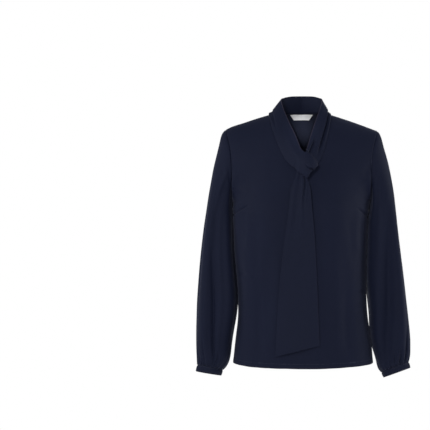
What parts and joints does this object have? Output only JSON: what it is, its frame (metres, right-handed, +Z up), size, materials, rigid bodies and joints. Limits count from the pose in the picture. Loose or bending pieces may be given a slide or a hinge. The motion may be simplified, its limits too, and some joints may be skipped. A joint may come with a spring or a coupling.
{
  "type": "tie neck blouse",
  "caption": "Long-sleeved pull-on blouse with a V neck, a folded collar tied in a single knot with a long hanging end, bust darts, and sleeves gathered into narrow cuffs; hollow, as worn.",
  "frame": {"origin": "the middle of the neck base, level with the points where the shoulder seams meet the collar", "axes": "+Z up, out of the neck opening; +X towards the wearer's left; +Y towards the wearer's back, so the front faces -Y"},
  "size_m": [0.5339, 0.2549, 0.7104],
  "materials": {
    "crepe": "smooth matt navy crepe with a very soft sheen",
    "label": "white woven satin, bare"
  },
  "bodies": {
    "root": {"front": "crepe", "back": "crepe", "sleeve_right": "crepe", "cuff_right": "crepe", "sleeve_left": "crepe", "cuff_left": "crepe", "tie_right": "crepe", "tie_left": "crepe", "tie_end_under": "crepe", "neck_label": "label"}
  },
  "joints": []
}
